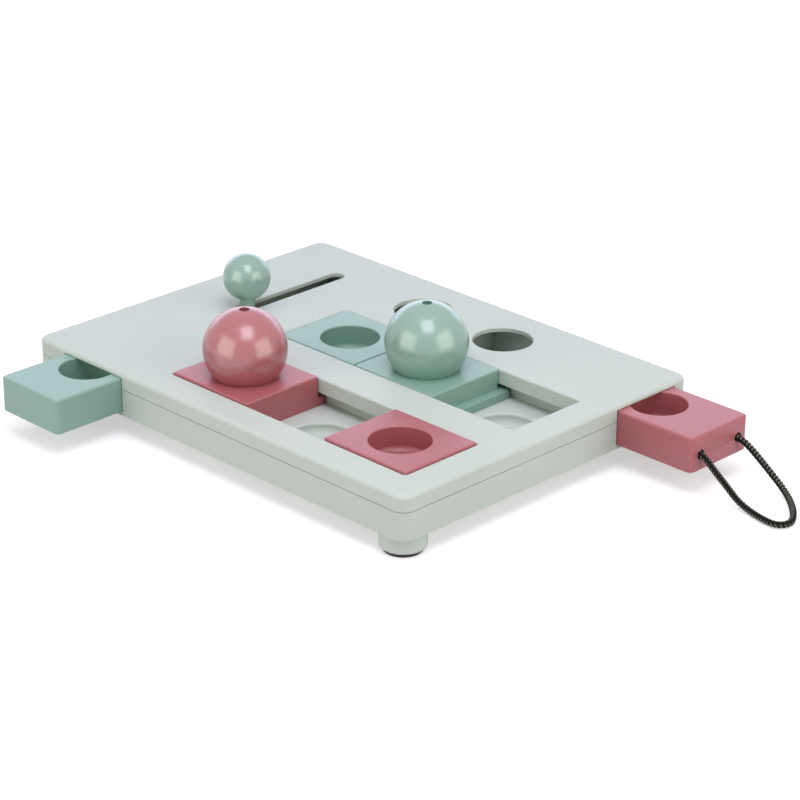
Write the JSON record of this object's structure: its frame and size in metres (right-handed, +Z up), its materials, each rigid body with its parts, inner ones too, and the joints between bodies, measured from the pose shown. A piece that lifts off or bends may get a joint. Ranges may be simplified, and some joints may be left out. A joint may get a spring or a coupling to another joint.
{
  "type": "cat puzzle feeder",
  "caption": "Flat puzzle feeder board on rubber feet, with treat sliders in open channels, treat holes, a knob-driven drawer and a cord-pulled drawer.",
  "frame": {"origin": "on the floor below the middle of the footprint, with both drawers out as in the picture", "axes": "+X along the board's long side, towards the side that the pull drawer leaves; +Y to the rear, away from the side that the knob drawer leaves; +Z up"},
  "size_m": [0.3445, 0.2276, 0.065],
  "materials": {
    "white_plastic": "satin white polypropylene or ABS with a faint grey-green cast",
    "pink_plastic": "satin dusty pink",
    "mint_plastic": "satin mint green",
    "black_rubber": "matt black anti-slip rubber",
    "black_cord": "round braided black cord",
    "steel": "zinc-plated screws"
  },
  "bodies": {
    "housing": {"top_cover": "white_plastic", "base_tray": "white_plastic", "housing_screws": "steel", "foot_pad_front_left": "black_rubber", "foot_pad_front_right": "black_rubber", "foot_pad_rear_left": "black_rubber", "foot_pad_rear_right": "black_rubber"},
    "pink_ball_slider": {"pink_ball_slider": "pink_plastic", "pink_ball_grip": "pink_plastic", "pink_grip_screw": "steel"},
    "pink_cup_slider": {"pink_cup_slider": "pink_plastic"},
    "mint_cup_slider": {"mint_cup_slider": "mint_plastic"},
    "mint_ball_slider": {"mint_ball_slider": "mint_plastic", "mint_ball_grip": "mint_plastic", "mint_grip_screw": "steel"},
    "pull_drawer": {"pull_drawer": "pink_plastic", "cord_keeper": "pink_plastic", "pull_cord": "black_cord", "cord_knots": "black_cord"},
    "knob_drawer": {"knob_drawer": "mint_plastic", "ball_knob": "mint_plastic", "knob_screw": "steel"}
  },
  "joints": [
    {"name": "pink_ball_slide", "type": "slide", "parent": "housing", "child": "pink_ball_slider", "axis": [1, 0, 0], "range_m": [0, 0.0506]},
    {"name": "pink_cup_slide", "type": "slide", "parent": "housing", "child": "pink_cup_slider", "axis": [1, 0, 0], "range_m": [-0.0506, 0]},
    {"name": "mint_cup_slide", "type": "slide", "parent": "housing", "child": "mint_cup_slider", "axis": [1, 0, 0], "range_m": [0, 0.0504]},
    {"name": "mint_ball_slide", "type": "slide", "parent": "mint_cup_slider", "child": "mint_ball_slider", "axis": [-1, 0, 0], "range_m": [-0.0504, 0]},
    {"name": "pull_drawer_slide", "type": "slide", "parent": "housing", "child": "pull_drawer", "axis": [1, 0, 0], "range_m": [-0.0438, 0.0062]},
    {"name": "knob_drawer_slide", "type": "slide", "parent": "housing", "child": "knob_drawer", "axis": [0, -1, 0], "range_m": [-0.0608, 0.012]}
  ]
}
